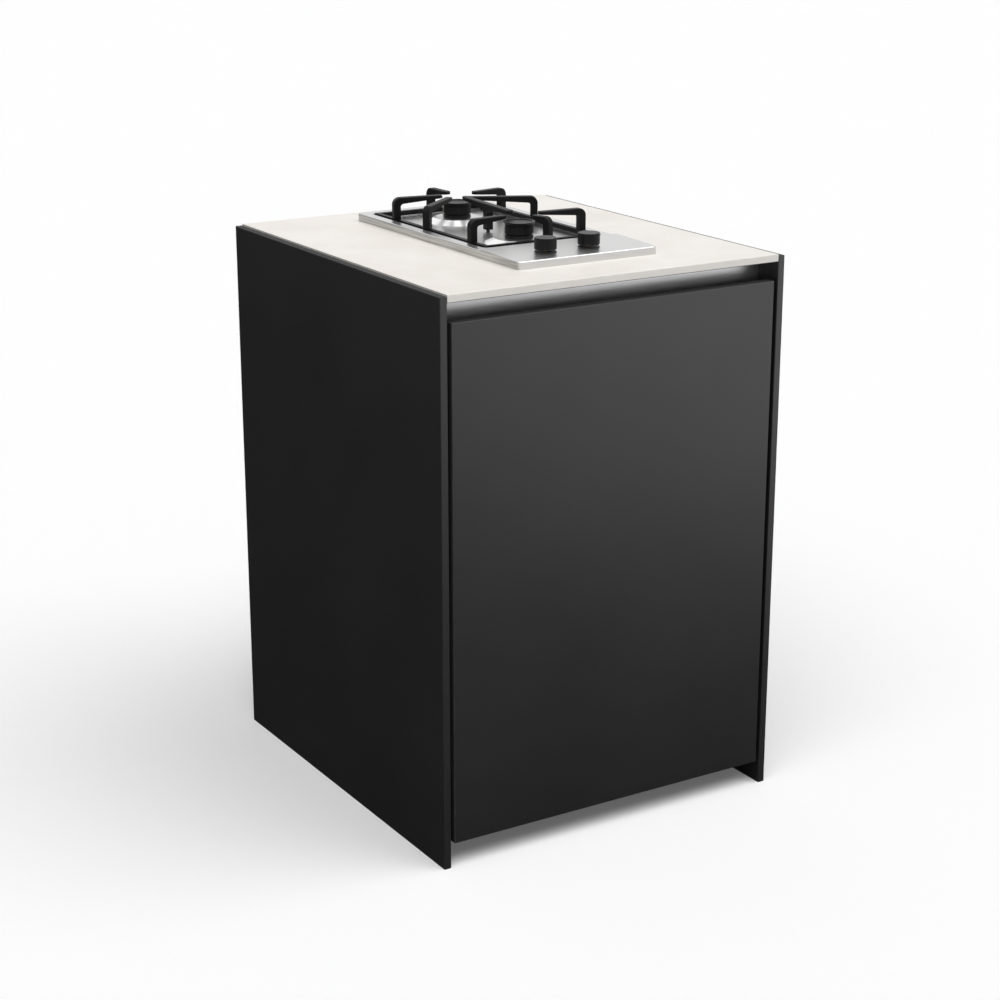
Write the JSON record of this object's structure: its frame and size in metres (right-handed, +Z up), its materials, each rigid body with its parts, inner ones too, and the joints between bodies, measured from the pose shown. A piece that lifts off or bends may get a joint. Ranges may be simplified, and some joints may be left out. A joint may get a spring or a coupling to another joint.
{
  "type": "outdoor kitchen side burner unit",
  "caption": "Free-standing outdoor kitchen cabinet on two black leg panels, with a pale slab top, a stainless gas hob with pan support and knobs, a finger-pull channel and a hinged door.",
  "frame": {"origin": "on the floor at the middle of the footprint", "axes": "+Z up, -Y towards the door and knobs, +X to the right as seen from the front"},
  "size_m": [0.624, 0.69, 0.9525],
  "materials": {
    "black_laminate": "matt black compact laminate",
    "carcass_laminate": "dark grey compact laminate",
    "pale_stone": "honed cream sintered stone",
    "dark_aluminium": "dark anodised, brushed lengthwise",
    "stainless": "brushed stainless steel",
    "zinc_steel": "zinc-plated steel",
    "black_iron": "matt black enamelled iron",
    "black_enamel": "satin black enamel",
    "burner_alloy": "black die-cast alloy",
    "raw_alloy": "die-cast alloy",
    "brass": "turned brass",
    "rubber": "black rubber",
    "nylon": "dark nylon",
    "knob_plastic": "satin black heat-resistant plastic",
    "ceramic": "white insulator"
  },
  "bodies": {
    "cabinet": {"left_panel": "black_laminate", "right_panel": "black_laminate", "countertop_slab": "pale_stone", "carcass_left": "carcass_laminate", "carcass_right": "carcass_laminate", "carcass_bottom": "carcass_laminate", "carcass_back": "carcass_laminate", "front_rail": "carcass_laminate", "rear_rail": "carcass_laminate", "finger_channel": "dark_aluminium", "lower_pivot_bracket": "zinc_steel", "upper_pivot_bracket": "zinc_steel", "lower_pivot_pin": "stainless", "upper_pivot_pin": "stainless", "door_catch": "nylon", "door_bumpers": "rubber", "hob_top": "stainless", "hob_seal": "rubber", "hob_tray": "zinc_steel", "hob_clamps": "zinc_steel", "front_burner_cup": "raw_alloy", "rear_burner_cup": "raw_alloy", "front_injector": "brass", "rear_injector": "brass", "front_electrode": "ceramic", "rear_electrode": "ceramic", "front_thermocouple": "stainless", "rear_thermocouple": "stainless", "gas_manifold": "zinc_steel", "manifold_clips": "zinc_steel", "gas_inlet": "brass", "front_feed_tube": "raw_alloy", "rear_feed_tube": "raw_alloy", "ignition_box": "nylon", "left_gas_tap": "brass", "left_tap_cover": "zinc_steel", "left_tap_spring": "zinc_steel", "left_knob_bezel": "knob_plastic", "right_gas_tap": "brass", "right_tap_cover": "zinc_steel", "right_tap_spring": "zinc_steel", "right_knob_bezel": "knob_plastic"},
    "door": {"door_leaf": "black_laminate", "upper_bush": "nylon", "lower_bush": "nylon", "strike_plate": "zinc_steel"},
    "support": {"pan_support": "black_iron", "pan_support_feet": "rubber"},
    "front_head": {"front_burner_head": "burner_alloy"},
    "front_cap": {"front_burner_cap": "black_enamel"},
    "rear_head": {"rear_burner_head": "burner_alloy"},
    "rear_cap": {"rear_burner_cap": "black_enamel"},
    "left_plunger": {"left_spring_seat": "zinc_steel"},
    "left_control": {"left_knob": "knob_plastic", "left_tap_stem": "brass"},
    "right_plunger": {"right_spring_seat": "zinc_steel"},
    "right_control": {"right_knob": "knob_plastic", "right_tap_stem": "brass"}
  },
  "joints": [
    {"name": "door_hinge", "type": "hinge", "parent": "cabinet", "child": "door", "pos_m": [0.283, -0.333, 0.45], "axis": [0, 0, 1], "range_deg": [0, 95]},
    {"name": "support_lift", "type": "slide", "parent": "cabinet", "child": "support", "axis": [0, 0, 1], "range_m": [0, 0.1]},
    {"name": "front_head_lift", "type": "slide", "parent": "cabinet", "child": "front_head", "axis": [0, 0, 1], "range_m": [0, 0.06]},
    {"name": "front_cap_lift", "type": "slide", "parent": "front_head", "child": "front_cap", "axis": [0, 0, 1], "range_m": [0, 0.05]},
    {"name": "rear_head_lift", "type": "slide", "parent": "cabinet", "child": "rear_head", "axis": [0, 0, 1], "range_m": [0, 0.06]},
    {"name": "rear_cap_lift", "type": "slide", "parent": "rear_head", "child": "rear_cap", "axis": [0, 0, 1], "range_m": [0, 0.05]},
    {"name": "left_knob_push", "type": "slide", "parent": "cabinet", "child": "left_plunger", "axis": [0, 0, 1], "range_m": [-0.002, 0], "stiffness_N_per_m": 1500, "springref_m": 0.003, "deforming": ["left_tap_spring"]},
    {"name": "left_knob_turn", "type": "hinge", "parent": "left_plunger", "child": "left_control", "pos_m": [-0.041, -0.2, 0.91673], "axis": [0, 0, 1], "range_deg": [0, 210]},
    {"name": "right_knob_push", "type": "slide", "parent": "cabinet", "child": "right_plunger", "axis": [0, 0, 1], "range_m": [-0.002, 0], "stiffness_N_per_m": 1500, "springref_m": 0.003, "deforming": ["right_tap_spring"]},
    {"name": "right_knob_turn", "type": "hinge", "parent": "right_plunger", "child": "right_control", "pos_m": [0.039, -0.2, 0.91673], "axis": [0, 0, 1], "range_deg": [0, 210]}
  ]
}
